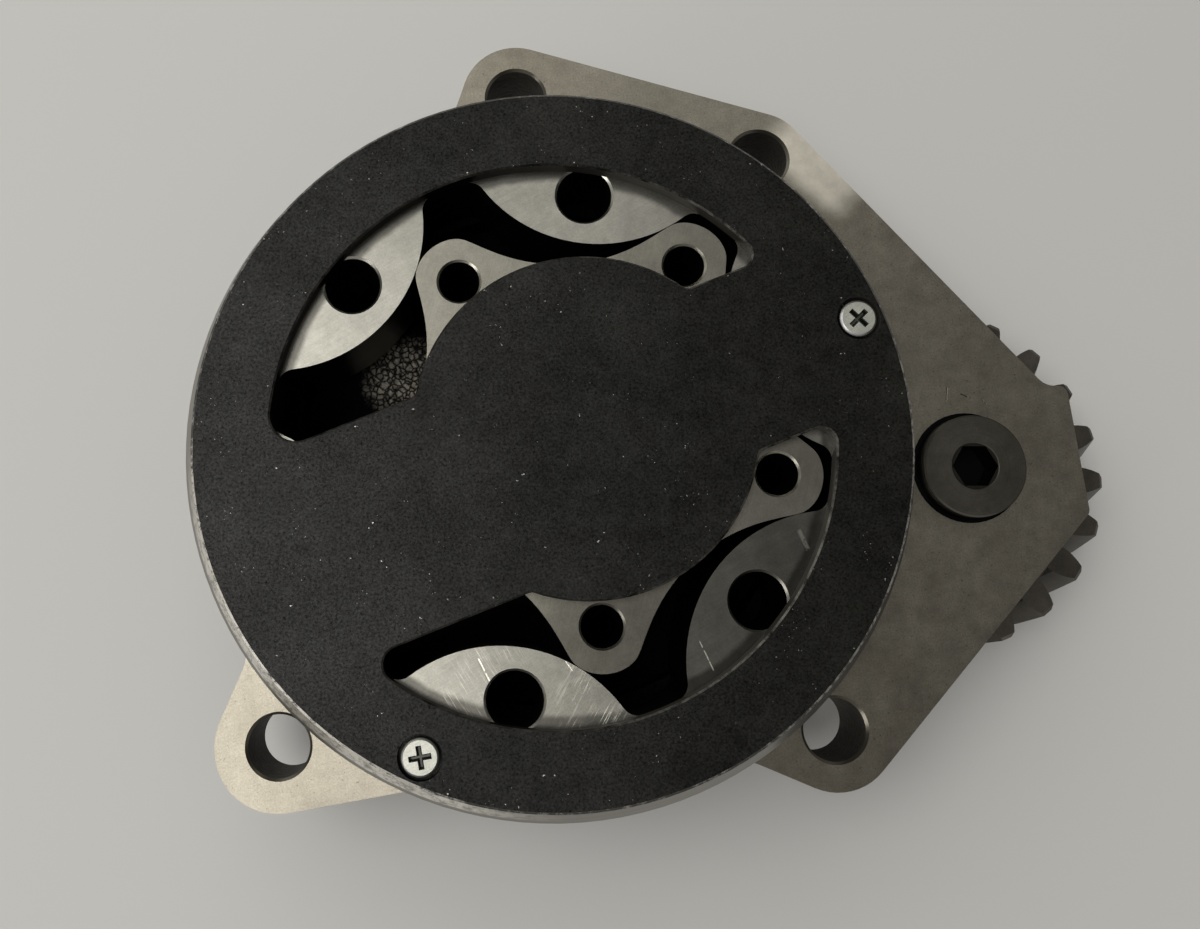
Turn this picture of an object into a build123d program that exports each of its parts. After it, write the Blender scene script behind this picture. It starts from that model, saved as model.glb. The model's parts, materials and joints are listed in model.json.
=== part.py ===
from build123d import *
import os
from math import atan, atan2, cos, degrees, pi, radians, sin, sqrt, tan

# Gerotor engine oil pump. Millimetres, +Z up towards the port plate.
# Origin: barrel axis, on the ground rear face of the mounting flange.

# ---------------------------------------------------------------- driving dimensions
# Rotor set
outer_teeth = 6
inner_teeth = outer_teeth - 1
eccentricity = 4.95
tooth_circle_radius = 48.2
ring_tip_radius = 27.9
rotor_clearance = 0.06
root_clearance = 0.25
root_fillet = 2.2
rotor_axis_angle = 19.8
rotor_turn = 2.4
rotor_ring_wall = 3.95
outer_hole_diameter = 7.7
outer_hole_depth_from_tip = 6.9
inner_hole_diameter = 5.7
inner_hole_depth_from_tip = 6.2
rotor_hole_chamfer = 0.3

# Fits
running_clearance = 0.04
pocket_clearance = 0.07
end_clearance = 0.025
seat_clearance = 0.02
screw_clearance = 0.2
gear_backlash = 0.14

# Body
barrel_wall = 8.63
barrel_height = 17.0
barrel_lead_length = 4.5
flange_thickness = 14.0
flange_base_step = 1.8
pocket_floor_height = 1.0
floor_port_depth = 6.0
floor_port_inset = 1.2
mount_hole_diameter = 9.0
mount_hole_chamfer = 0.4
mount_walls = (1.0, 1.6, 2.3, 2.4)
mount_angles = (94.3, 53.9, 227.7, 316.0)
mount_lobe_radii = (8.4, 7.6, 9.3, 8.7)
flange_web_inset = 22.5
mount_web_inset = 21.5
mount_web_shift = 14.6
mount_web_angle = 256.9
nub_height = 12.4
nub_foot_reach = 12.4
nub_corner_reach = 15.6
end_corner_reach = 17.6
end_corner_drop = 6.6
nub_foot_fillet = 3.0
end_corner_radius = 1.4
flange_web_fillet = 4.0
front_boss_height = 0.5
front_boss_radius = 13.5
front_relief_depth = 4.0
front_relief_wall = 4.0
front_rib_width = 5.0
pin_seat_diameter = 16.4
pin_seat_depth = 0.4

# Port plate
plate_step = 2.3
plate_thickness = 2.5
plate_chamfer = 0.35
port_outer_cover = 0.05
port_hub_cover = 0.35
port_axis_angle = 21.8
port_land_offset = 12.0
closed_port_offset = 17.9
port_corner_radius = 3.6
port_end_radius = 2.0
port_heel_radius = 0.9
port_tip_radius = 2.3
port_edge_break = 0.25

# Cover screws and dowels
screw_inset = 3.6
screw_angles = (21.3, 247.4)
screw_head_diameter = 5.0
screw_head_height = 1.6
screw_thread_diameter = 2.9
screw_length = 10.0
screw_head_chamfer = 0.3
screw_recess_depth = 1.1
screw_slot_length = 3.0
screw_slot_width = 0.75
screw_slot_angles = (45.0, 10.0)
screw_slot_taper = 12.0
counterbore_diameter = 5.9
dowel_diameter = 3.0
dowel_length = 8.0
dowel_angles = (112.0, 330.0)
dowel_cover = 0.6

# Gears
idler_standoff = 7.65
helix_angle = 21.0
pressure_angle = 20.0
drive_gear_teeth = 28
idler_gear_teeth = 22
gear_width = 16.0
idler_azimuth = -3.8
idler_phase = -1.2
gear_edge_chamfer = 0.6
dedendum_ratio = 1.25
tooth_foot_ratio = 0.98

# Shaft, bushes and hubs
shaft_diameter = 16.0
gear_seat_diameter = 14.0
bush_wall = 1.5
bush_length = 6.0
bush_inset = 0.4
key_width = 4.0
key_height = 4.0
rotor_key_inset = 2.0
gear_key_inset = 1.5
key_crown_clearance = 0.15
thrust_washer_thickness = 1.0
thrust_washer_diameter = 26.0
hub_recess_depth = 4.0
hub_recess_diameter = 24.0
web_inner_radius = 16.0
web_rim = 2.8
web_recess_depth = 2.5
ring_thickness = 1.2
ring_groove_depth = 0.7
ring_width = 2.2
ring_gap = 6.0
shaft_end_inset = 0.3
shaft_end_chamfer = 0.8

# Idler pin
pin_head_diameter = 15.0
pin_head_height = 3.4
pin_head_chamfer = 0.25
pin_diameter = 14.0
pin_socket_size = 5.8
pin_socket_depth = 5.0
pin_socket_chamfer = 0.15
idler_bush_wall = 2.0

# ---------------------------------------------------------------- derived sizes
tooth_radius = tooth_circle_radius - ring_tip_radius
outer_root_radius = ring_tip_radius + 2 * eccentricity + root_clearance
outer_rotor_radius = outer_root_radius + rotor_ring_wall
outer_hole_circle_radius = ring_tip_radius + outer_hole_depth_from_tip
inner_hole_circle_radius = ring_tip_radius + eccentricity - inner_hole_depth_from_tip
rotor_width = barrel_height - pocket_floor_height - 2 * end_clearance
rotor_bottom = pocket_floor_height + end_clearance

pocket_radius = outer_rotor_radius + pocket_clearance
barrel_radius = pocket_radius + barrel_wall
flange_base_radius = barrel_radius + flange_base_step
mount_radii = [barrel_radius + wall + mount_hole_diameter / 2 for wall in mount_walls]
plate_radius = barrel_radius - plate_step
screw_circle_radius = plate_radius - screw_inset
port_outer_radius = outer_root_radius - port_outer_cover
port_hub_radius = ring_tip_radius - eccentricity + port_hub_cover

shaft_x = eccentricity * cos(radians(rotor_axis_angle))
shaft_y = eccentricity * sin(radians(rotor_axis_angle))
centre_distance = barrel_radius + idler_standoff
idler_x = shaft_x + centre_distance * cos(radians(idler_azimuth))
idler_y = shaft_y + centre_distance * sin(radians(idler_azimuth))
transverse_module = 2 * centre_distance / (drive_gear_teeth + idler_gear_teeth)
normal_module = transverse_module * cos(radians(helix_angle))
transverse_pressure = atan(tan(radians(pressure_angle)) / cos(radians(helix_angle)))
dedendum = dedendum_ratio * normal_module

plate_top = barrel_height + plate_thickness
flange_front = -flange_thickness
boss_front = flange_front - front_boss_height
gear_rear = boss_front - thrust_washer_thickness
gear_front = gear_rear - gear_width
bush_outer_radius = shaft_diameter / 2 + running_clearance + bush_wall


def polar(radius, angle):
    """Point at a radius and an angle in degrees."""
    return (radius * cos(radians(angle)), radius * sin(radians(angle)))


def turned_plane(height, angle, x=0.0, y=0.0):
    """Horizontal plane whose X runs at an angle in degrees."""
    direction = polar(1, angle)
    return Plane(origin=(x, y, height), x_dir=(direction[0], direction[1], 0), z_dir=(0, 0, 1))


def port_plane(height):
    """Plane on the barrel axis, with X along the land between the ports."""
    return turned_plane(height, port_axis_angle)


def ring_plane(height):
    """Plane on the barrel axis that has turned with the outer rotor."""
    return turned_plane(height, rotor_axis_angle + rotor_turn * inner_teeth / outer_teeth)


def shaft_plane(height):
    """Plane on the drive shaft's axis that has turned with it."""
    return turned_plane(height, rotor_axis_angle + rotor_turn, shaft_x, shaft_y)


def idler_plane(height):
    """Horizontal plane centred on the idler pin."""
    return Plane.XY.offset(height).move(Location((idler_x, idler_y, 0)))


mount_points = [polar(radius, angle) for radius, angle in zip(mount_radii, mount_angles)]
mount_lobes = list(zip(mount_points, mount_lobe_radii))
screw_points = [polar(screw_circle_radius, angle) for angle in screw_angles]
dowel_points = [polar(screw_circle_radius, angle) for angle in dowel_angles]


def round_edges(part, radius):
    """Circular edges of one radius."""
    return part.edges().filter_by(lambda e: e.geom_type == GeomType.CIRCLE and abs(e.radius - radius) < 1e-6)


# ---------------------------------------------------------------- rotor set
def inner_rotor_point(theta):
    """Point of the inner rotor's edge: the path of a ring tooth's centre, moved in by its radius."""
    x = tooth_circle_radius * cos(theta) - eccentricity * cos(outer_teeth * theta)
    y = tooth_circle_radius * sin(theta) - eccentricity * sin(outer_teeth * theta)
    along_x = -tooth_circle_radius * sin(theta) + outer_teeth * eccentricity * sin(outer_teeth * theta)
    along_y = tooth_circle_radius * cos(theta) - outer_teeth * eccentricity * cos(outer_teeth * theta)
    speed = sqrt(along_x**2 + along_y**2)
    inward = tooth_radius + rotor_clearance
    return (x - inward * along_y / speed, y + inward * along_x / speed)


arcs_per_lobe = 16
arc_count = arcs_per_lobe * inner_teeth

with BuildPart() as outer_rotor:
    with BuildSketch(ring_plane(rotor_bottom)):
        Circle(outer_rotor_radius)
        with BuildSketch(mode=Mode.PRIVATE) as cavity:
            Circle(outer_root_radius)
            with PolarLocations(tooth_circle_radius, outer_teeth):
                Circle(tooth_radius, mode=Mode.SUBTRACT)
            fillet(cavity.vertices(), root_fillet)
        add(cavity.sketch, mode=Mode.SUBTRACT)
        with PolarLocations(outer_hole_circle_radius, outer_teeth):
            Circle(outer_hole_diameter / 2, mode=Mode.SUBTRACT)
    extrude(amount=rotor_width)
    chamfer(round_edges(outer_rotor, outer_hole_diameter / 2), rotor_hole_chamfer)
outer_rotor.part.label = "outer_rotor"

with BuildPart() as inner_rotor:
    with BuildSketch(shaft_plane(rotor_bottom)):
        with BuildLine():
            for i in range(arc_count):
                ThreePointArc(*[inner_rotor_point(pi * (2 * i + step) / arc_count) for step in range(3)])
        make_face()
        with PolarLocations(inner_hole_circle_radius, inner_teeth, start_angle=180 / inner_teeth):
            Circle(inner_hole_diameter / 2, mode=Mode.SUBTRACT)
        Circle(shaft_diameter / 2 + seat_clearance, mode=Mode.SUBTRACT)
        with Locations((0, shaft_diameter / 2)):
            Rectangle(key_width, key_height + 2 * key_crown_clearance, mode=Mode.SUBTRACT)
    extrude(amount=rotor_width)
    chamfer(round_edges(inner_rotor, inner_hole_diameter / 2), rotor_hole_chamfer)
inner_rotor.part.label = "inner_rotor"


# ---------------------------------------------------------------- ports
def port_outline(inset, closed_offset, side):
    """Kidney port above the land, cut off parallel to it; closed_offset shortens the left end."""
    reach = 2 * port_outer_radius
    hub_x, hub_y = polar(eccentricity, rotor_axis_angle - port_axis_angle)
    left_offset = max(port_land_offset, closed_offset) + inset
    with BuildSketch(mode=Mode.PRIVATE) as port:
        Circle(port_outer_radius - inset)
        with Locations((hub_x, side * hub_y)):
            Circle(port_hub_radius + inset, mode=Mode.SUBTRACT)
        with Locations((0, port_land_offset + inset - reach)):
            Rectangle(2 * reach, 2 * reach, mode=Mode.SUBTRACT)
        with Locations((-reach, left_offset - reach)):
            Rectangle(2 * reach, 2 * reach, mode=Mode.SUBTRACT)
        fillet(port.vertices().sort_by(Axis.X)[-1], port_end_radius)
        fillet(port.vertices().sort_by(Axis.X)[1:3], port_heel_radius)
        fillet(port.vertices().sort_by(Axis.X)[0], port_tip_radius if closed_offset else port_corner_radius)
    return port.sketch


def both_ports(inset):
    """The open port above the land and the shorter one below it."""
    lower_port = port_outline(inset, closed_port_offset, -1)
    return [port_outline(inset, 0, 1), mirror(lower_port, Plane.XZ, mode=Mode.PRIVATE)]


# ---------------------------------------------------------------- body
nub_foot = (nub_foot_reach, nub_height)
nub_corner = (nub_corner_reach, nub_height)
end_corner = (end_corner_reach, -end_corner_drop)

with BuildSketch() as flange_outline:
    for point, lobe_radius in (mount_lobes[0], mount_lobes[1], mount_lobes[3]):
        with Locations(point):
            Circle(lobe_radius)
    with Locations((idler_x, idler_y)):
        Polygon((0, 0), end_corner, nub_foot, align=None)
    Circle(flange_base_radius - flange_web_inset)
    make_hull()
    Circle(flange_base_radius)
    with Locations((idler_x, idler_y)):
        Polygon((0, 0), end_corner, nub_corner, nub_foot, align=None)
    with BuildSketch(mode=Mode.PRIVATE) as mount_web:
        with Locations(mount_points[2]):
            Circle(mount_lobe_radii[2])
        with Locations(polar(mount_web_shift, mount_web_angle)):
            Circle(flange_base_radius - mount_web_inset)
        make_hull()
    add(mount_web.sketch)
    on_base = flange_outline.vertices().filter_by(
        lambda v: abs(Vector(v.X, v.Y).length - flange_base_radius) < 1e-4
    )
    fillet(on_base, flange_web_fillet)
    for (x, y), radius in (
        (nub_corner, end_corner_radius),
        (end_corner, end_corner_radius),
        (nub_foot, nub_foot_fillet),
    ):
        corner = (idler_x + x, idler_y + y)
        fillet(flange_outline.vertices().sort_by_distance(corner)[0], radius)

with BuildSketch() as front_relief:
    add(flange_outline.sketch)
    offset(amount=-front_relief_wall)
    for point, lobe_radius in mount_lobes:
        with Locations(point):
            Circle(lobe_radius, mode=Mode.SUBTRACT)
    with Locations((shaft_x, shaft_y), (idler_x, idler_y)):
        Circle(front_boss_radius, mode=Mode.SUBTRACT)
    with Locations(Location((shaft_x, shaft_y), idler_azimuth)):
        Rectangle(2 * centre_distance, front_rib_width, mode=Mode.SUBTRACT)
    for radius, angle in zip(mount_radii, mount_angles):
        with Locations(Location(polar(radius / 2, angle), angle)):
            Rectangle(radius, front_rib_width, mode=Mode.SUBTRACT)

with BuildPart() as pump_body:
    with BuildSketch(Plane.XY):
        add(flange_outline.sketch)
    extrude(amount=-flange_thickness)
    with BuildSketch(Plane.XZ):
        with BuildLine():
            Polyline(
                (0, 0),
                (barrel_radius, 0),
                (barrel_radius, barrel_height - barrel_lead_length),
                (plate_radius, barrel_height),
                (0, barrel_height),
                close=True,
            )
        make_face()
    revolve(axis=Axis.Z)
    with BuildSketch(Plane.XY.offset(flange_front)):
        with Locations((shaft_x, shaft_y), (idler_x, idler_y)):
            Circle(front_boss_radius)
    extrude(amount=-front_boss_height)
    with BuildSketch(Plane.XY.offset(flange_front)):
        add(front_relief.sketch)
    extrude(amount=front_relief_depth, mode=Mode.SUBTRACT)
    with BuildSketch(Plane.XY.offset(pocket_floor_height)):
        Circle(pocket_radius)
    extrude(amount=barrel_height - pocket_floor_height, mode=Mode.SUBTRACT)
    with BuildSketch(port_plane(pocket_floor_height)):
        for port in both_ports(floor_port_inset):
            add(port)
    extrude(amount=-floor_port_depth, mode=Mode.SUBTRACT)
    with BuildSketch(shaft_plane(boss_front)):
        Circle(bush_outer_radius)
    extrude(amount=pocket_floor_height - boss_front, mode=Mode.SUBTRACT)
    with BuildSketch(Plane.XY.offset(boss_front)):
        with Locations((idler_x, idler_y)):
            Circle(pin_diameter / 2)
    extrude(amount=-boss_front, mode=Mode.SUBTRACT)
    with BuildSketch(idler_plane(0)):
        Circle(pin_seat_diameter / 2)
    extrude(amount=-pin_seat_depth, mode=Mode.SUBTRACT)
    with Locations(*[(x, y, 0) for x, y in mount_points]):
        Hole(mount_hole_diameter / 2)
    with Locations(*[(x, y, barrel_height) for x, y in screw_points]):
        Hole(screw_thread_diameter / 2, depth=screw_length)
    with Locations(*[(x, y, barrel_height) for x, y in dowel_points]):
        Hole(dowel_diameter / 2, depth=dowel_length - plate_thickness + dowel_cover)
    chamfer(round_edges(pump_body, mount_hole_diameter / 2), mount_hole_chamfer)
pump_body.part.label = "pump_body"

# ---------------------------------------------------------------- port plate, screws, dowels
with BuildPart() as port_plate:
    with BuildSketch(Plane.XY.offset(barrel_height)):
        Circle(plate_radius)
    extrude(amount=plate_thickness)
    chamfer(port_plate.edges().sort_by(Axis.Z)[-1], plate_chamfer)
    with BuildSketch(port_plane(barrel_height)):
        for port in both_ports(0):
            add(port)
    extrude(amount=plate_thickness, mode=Mode.SUBTRACT)
    top_face = port_plate.faces().sort_by(Axis.Z)[-1]
    chamfer(top_face.inner_wires().edges(), port_edge_break)
    with Locations(*[(x, y, plate_top) for x, y in screw_points]):
        CounterBoreHole(
            screw_thread_diameter / 2 + screw_clearance, counterbore_diameter / 2, screw_head_height
        )
    with BuildSketch(Plane.XY.offset(barrel_height)):
        with Locations(*dowel_points):
            Circle(dowel_diameter / 2)
    extrude(amount=plate_thickness - dowel_cover, mode=Mode.SUBTRACT)
port_plate.part.label = "port_plate"

with BuildPart() as cover_screws:
    for point, slot_angle in zip(screw_points, screw_slot_angles):
        with BuildSketch(Plane.XY.offset(plate_top - screw_head_height)):
            with Locations(point):
                Circle(screw_head_diameter / 2)
        extrude(amount=screw_head_height)
        with BuildSketch(Plane.XY.offset(barrel_height - screw_length)):
            with Locations(point):
                Circle(screw_thread_diameter / 2)
        extrude(amount=screw_length + plate_thickness - screw_head_height)
        for turn in (0, 90):
            with BuildSketch(Plane.XY.offset(plate_top)):
                with Locations(Location(point, slot_angle + turn)):
                    Rectangle(screw_slot_length, screw_slot_width)
            extrude(amount=-screw_recess_depth, taper=screw_slot_taper, mode=Mode.SUBTRACT)
    chamfer(cover_screws.edges().filter_by(GeomType.CIRCLE).group_by(Axis.Z)[-1], screw_head_chamfer)
cover_screws.part.label = "cover_screws"

with BuildPart() as plate_dowels:
    with BuildSketch(Plane.XY.offset(plate_top - dowel_cover - dowel_length)):
        with Locations(*dowel_points):
            Circle(dowel_diameter / 2)
    extrude(amount=dowel_length)
plate_dowels.part.label = "plate_dowels"


# ---------------------------------------------------------------- helical gears
def involute_point(base_radius, radius, start_angle):
    """Point of an involute flank at a radius; the angle is where the involute leaves its base circle."""
    roll = sqrt(max((radius / base_radius) ** 2 - 1, 0))
    angle = start_angle - (roll - atan(roll))
    return (radius * cos(angle), radius * sin(angle))


def helical_gear(teeth, rear_phase, hand):
    """Toothed blank standing on Z=0 about the origin; with hand 1 the teeth turn anticlockwise going up."""
    pitch_radius = transverse_module * teeth / 2
    base_radius = pitch_radius * cos(transverse_pressure)
    tip_radius = pitch_radius + normal_module
    root_radius = pitch_radius - dedendum
    half_tooth = (pi * transverse_module / 2 - gear_backlash / 2) / (2 * pitch_radius)
    start_angle = half_tooth + tan(transverse_pressure) - transverse_pressure
    foot_radius = max(base_radius, root_radius)
    flank_radii = (foot_radius, (foot_radius + tip_radius) / 2, tip_radius)
    upper = [involute_point(base_radius, radius, start_angle) for radius in flank_radii]
    lower = [(x, -y) for x, y in upper]
    foot = polar(tooth_foot_ratio * root_radius, degrees(atan2(upper[0][1], upper[0][0])))
    with BuildSketch(mode=Mode.PRIVATE) as tooth:
        with BuildLine():
            Line(foot, upper[0])
            ThreePointArc(*upper)
            ThreePointArc(upper[-1], (tip_radius, 0), lower[-1])
            ThreePointArc(*lower)
            Line(lower[0], (foot[0], -foot[1]))
            Line((foot[0], -foot[1]), foot)
        make_face()
    with BuildSketch(mode=Mode.PRIVATE) as section:
        Circle(root_radius)
        with PolarLocations(0, teeth):
            add(tooth.sketch)
    twist = hand * degrees(gear_width * tan(radians(helix_angle)) / pitch_radius)
    start = section.face().rotate(Axis.Z, rear_phase - twist)
    blank = Solid.extrude_linear_with_rotation(start, (0, 0, 0), (0, 0, gear_width), twist)
    with BuildSketch(Plane.XZ, mode=Mode.PRIVATE) as envelope:
        with BuildLine():
            Polyline(
                (0, 0),
                (tip_radius - gear_edge_chamfer, 0),
                (tip_radius, gear_edge_chamfer),
                (tip_radius, gear_width - gear_edge_chamfer),
                (tip_radius - gear_edge_chamfer, gear_width),
                (0, gear_width),
                close=True,
            )
        make_face()
    turned = revolve(envelope.sketch, Axis.Z, mode=Mode.PRIVATE)
    return turned & blank


# In mesh, a tooth of the idler lies as far past the line of centres as the matching gap of the drive gear.
idler_pitch_angle = 360 / idler_gear_teeth
idler_offset = (idler_phase - idler_azimuth - 180) % idler_pitch_angle
gap_angle = idler_azimuth - idler_offset * idler_gear_teeth / drive_gear_teeth
drive_phase = gap_angle + 180 / drive_gear_teeth

with BuildPart() as drive_gear:
    add(helical_gear(drive_gear_teeth, drive_phase, -1).moved(Location((shaft_x, shaft_y, gear_front))))
    with BuildSketch(shaft_plane(gear_front)):
        Circle(gear_seat_diameter / 2 + seat_clearance)
        with Locations((0, gear_seat_diameter / 2)):
            Rectangle(key_width, key_height + 2 * key_crown_clearance)
    extrude(amount=gear_width, mode=Mode.SUBTRACT)
    with BuildSketch(shaft_plane(gear_front)):
        Circle(hub_recess_diameter / 2)
    extrude(amount=hub_recess_depth, mode=Mode.SUBTRACT)
    with BuildSketch(shaft_plane(gear_front)):
        Circle(transverse_module * drive_gear_teeth / 2 - dedendum - web_rim)
        Circle(web_inner_radius, mode=Mode.SUBTRACT)
    extrude(amount=web_recess_depth, mode=Mode.SUBTRACT)
drive_gear.part.label = "drive_gear"

with BuildPart() as idler_gear:
    add(helical_gear(idler_gear_teeth, idler_phase, 1).moved(Location((idler_x, idler_y, gear_front))))
    with BuildSketch(idler_plane(gear_front)):
        Circle(pin_diameter / 2 + running_clearance + idler_bush_wall)
    extrude(amount=gear_width, mode=Mode.SUBTRACT)
    with BuildSketch(idler_plane(gear_front)):
        Circle(hub_recess_diameter / 2)
    extrude(amount=hub_recess_depth, mode=Mode.SUBTRACT)
idler_gear.part.label = "idler_gear"

# ---------------------------------------------------------------- shaft, keys, bushes
hub_face = gear_front + hub_recess_depth
shaft_end = gear_front + shaft_end_inset
shaft_top = rotor_bottom + rotor_width - shaft_end_inset


def key_bar(seat_diameter, bottom, length):
    """Rectangular key, half sunk in the shaft's edge."""
    with BuildSketch(shaft_plane(bottom), mode=Mode.PRIVATE) as outline:
        with Locations((0, seat_diameter / 2)):
            Rectangle(key_width, key_height)
    return extrude(outline.sketch, amount=length, mode=Mode.PRIVATE)


def retaining_ring_outline(seat_diameter):
    """Open spring ring that sits in a groove of the given shaft."""
    inner_radius = seat_diameter / 2 - ring_groove_depth + seat_clearance
    Circle(inner_radius + ring_width)
    Circle(inner_radius, mode=Mode.SUBTRACT)
    with Locations((0, -seat_diameter / 2)):
        Rectangle(ring_gap, seat_diameter, mode=Mode.SUBTRACT)


rotor_key_length = rotor_width - 2 * rotor_key_inset
rotor_key_bar = key_bar(shaft_diameter, rotor_bottom + rotor_key_inset, rotor_key_length)
gear_key_length = gear_rear - hub_face - 2 * gear_key_inset
gear_key_bar = key_bar(gear_seat_diameter, hub_face + gear_key_inset, gear_key_length)

with BuildPart() as drive_shaft:
    with BuildSketch(shaft_plane(gear_rear)):
        Circle(shaft_diameter / 2)
    extrude(amount=shaft_top - gear_rear)
    with BuildSketch(shaft_plane(shaft_end)):
        Circle(gear_seat_diameter / 2)
    extrude(amount=gear_rear - shaft_end)
    chamfer(drive_shaft.edges().filter_by(GeomType.CIRCLE).group_by(Axis.Z)[0], shaft_end_chamfer)
    chamfer(drive_shaft.edges().filter_by(GeomType.CIRCLE).group_by(Axis.Z)[-1], shaft_end_chamfer)
    add(rotor_key_bar, mode=Mode.SUBTRACT)
    add(gear_key_bar, mode=Mode.SUBTRACT)
    with BuildSketch(shaft_plane(hub_face - ring_thickness)):
        Circle(gear_seat_diameter / 2)
        Circle(gear_seat_diameter / 2 - ring_groove_depth, mode=Mode.SUBTRACT)
    extrude(amount=ring_thickness, mode=Mode.SUBTRACT)
drive_shaft.part.label = "drive_shaft"

with BuildPart() as rotor_key:
    add(rotor_key_bar)
rotor_key.part.label = "rotor_key"

with BuildPart() as gear_key:
    add(gear_key_bar)
gear_key.part.label = "gear_key"

with BuildPart() as rear_shaft_bush:
    with BuildSketch(shaft_plane(pocket_floor_height - bush_inset - bush_length)):
        Circle(bush_outer_radius)
        Circle(shaft_diameter / 2 + running_clearance, mode=Mode.SUBTRACT)
    extrude(amount=bush_length)
rear_shaft_bush.part.label = "rear_shaft_bush"

with BuildPart() as front_shaft_bush:
    with BuildSketch(shaft_plane(boss_front + bush_inset)):
        Circle(bush_outer_radius)
        Circle(shaft_diameter / 2 + running_clearance, mode=Mode.SUBTRACT)
    extrude(amount=bush_length)
front_shaft_bush.part.label = "front_shaft_bush"

with BuildPart() as gear_thrust_washer:
    with BuildSketch(shaft_plane(gear_rear + end_clearance)):
        Circle(thrust_washer_diameter / 2)
        Circle(shaft_diameter / 2 + screw_clearance, mode=Mode.SUBTRACT)
    extrude(amount=thrust_washer_thickness - end_clearance)
gear_thrust_washer.part.label = "gear_thrust_washer"

with BuildPart() as gear_retaining_ring:
    with BuildSketch(shaft_plane(hub_face - ring_thickness)):
        retaining_ring_outline(gear_seat_diameter)
    extrude(amount=ring_thickness)
gear_retaining_ring.part.label = "gear_retaining_ring"

# ---------------------------------------------------------------- idler pin, bush, washers, ring
front_washer_rear = hub_face - end_clearance
idler_ring_rear = front_washer_rear - thrust_washer_thickness
pin_head_top = pin_head_height - pin_seat_depth

with BuildPart() as idler_pin:
    with BuildSketch(idler_plane(-pin_seat_depth)):
        Circle(pin_head_diameter / 2)
    extrude(amount=pin_head_height)
    chamfer(idler_pin.edges().sort_by(Axis.Z)[-1], pin_head_chamfer)
    with BuildSketch(idler_plane(shaft_end)):
        Circle(pin_diameter / 2)
    extrude(amount=-pin_seat_depth - shaft_end)
    chamfer(idler_pin.edges().filter_by(GeomType.CIRCLE).group_by(Axis.Z)[0], shaft_end_chamfer)
    with BuildSketch(idler_plane(idler_ring_rear - ring_thickness)):
        Circle(pin_diameter / 2)
        Circle(pin_diameter / 2 - ring_groove_depth, mode=Mode.SUBTRACT)
    extrude(amount=ring_thickness, mode=Mode.SUBTRACT)
    with BuildSketch(idler_plane(pin_head_top)):
        RegularPolygon(pin_socket_size / 2, 6, major_radius=False)
    extrude(amount=-pin_socket_depth, mode=Mode.SUBTRACT)
    with BuildSketch(idler_plane(pin_head_top)):
        Circle(pin_socket_size / (2 * cos(radians(30))) + pin_socket_chamfer)
    extrude(amount=-pin_socket_chamfer, taper=45, mode=Mode.SUBTRACT)
idler_pin.part.label = "idler_pin"

with BuildPart() as idler_bush:
    with BuildSketch(idler_plane(hub_face)):
        Circle(pin_diameter / 2 + running_clearance + idler_bush_wall)
        Circle(pin_diameter / 2 + running_clearance, mode=Mode.SUBTRACT)
    extrude(amount=gear_rear - hub_face)
idler_bush.part.label = "idler_bush"

with BuildPart() as idler_rear_washer:
    with BuildSketch(idler_plane(gear_rear + end_clearance)):
        Circle(thrust_washer_diameter / 2)
        Circle(pin_diameter / 2 + running_clearance, mode=Mode.SUBTRACT)
    extrude(amount=thrust_washer_thickness - end_clearance)
idler_rear_washer.part.label = "idler_rear_washer"

with BuildPart() as idler_front_washer:
    with BuildSketch(idler_plane(idler_ring_rear)):
        Circle(hub_recess_diameter / 2 - 2 * screw_clearance)
        Circle(pin_diameter / 2 + running_clearance, mode=Mode.SUBTRACT)
    extrude(amount=thrust_washer_thickness)
idler_front_washer.part.label = "idler_front_washer"

with BuildPart() as idler_retaining_ring:
    with BuildSketch(idler_plane(idler_ring_rear - ring_thickness)):
        retaining_ring_outline(pin_diameter)
    extrude(amount=ring_thickness)
idler_retaining_ring.part.label = "idler_retaining_ring"

# ---------------------------------------------------------------- export
pieces = (
    pump_body,
    port_plate,
    cover_screws,
    plate_dowels,
    outer_rotor,
    inner_rotor,
    rotor_key,
    drive_shaft,
    rear_shaft_bush,
    front_shaft_bush,
    gear_thrust_washer,
    drive_gear,
    gear_key,
    gear_retaining_ring,
    idler_pin,
    idler_gear,
    idler_bush,
    idler_rear_washer,
    idler_front_washer,
    idler_retaining_ring,
)
os.makedirs("parts", exist_ok=True)
for piece in pieces:
    export_step(piece.part, f"parts/{piece.part.label}.step")
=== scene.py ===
import json
from math import atan2, degrees, hypot, radians

import bpy
from mathutils import Matrix, Vector

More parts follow.
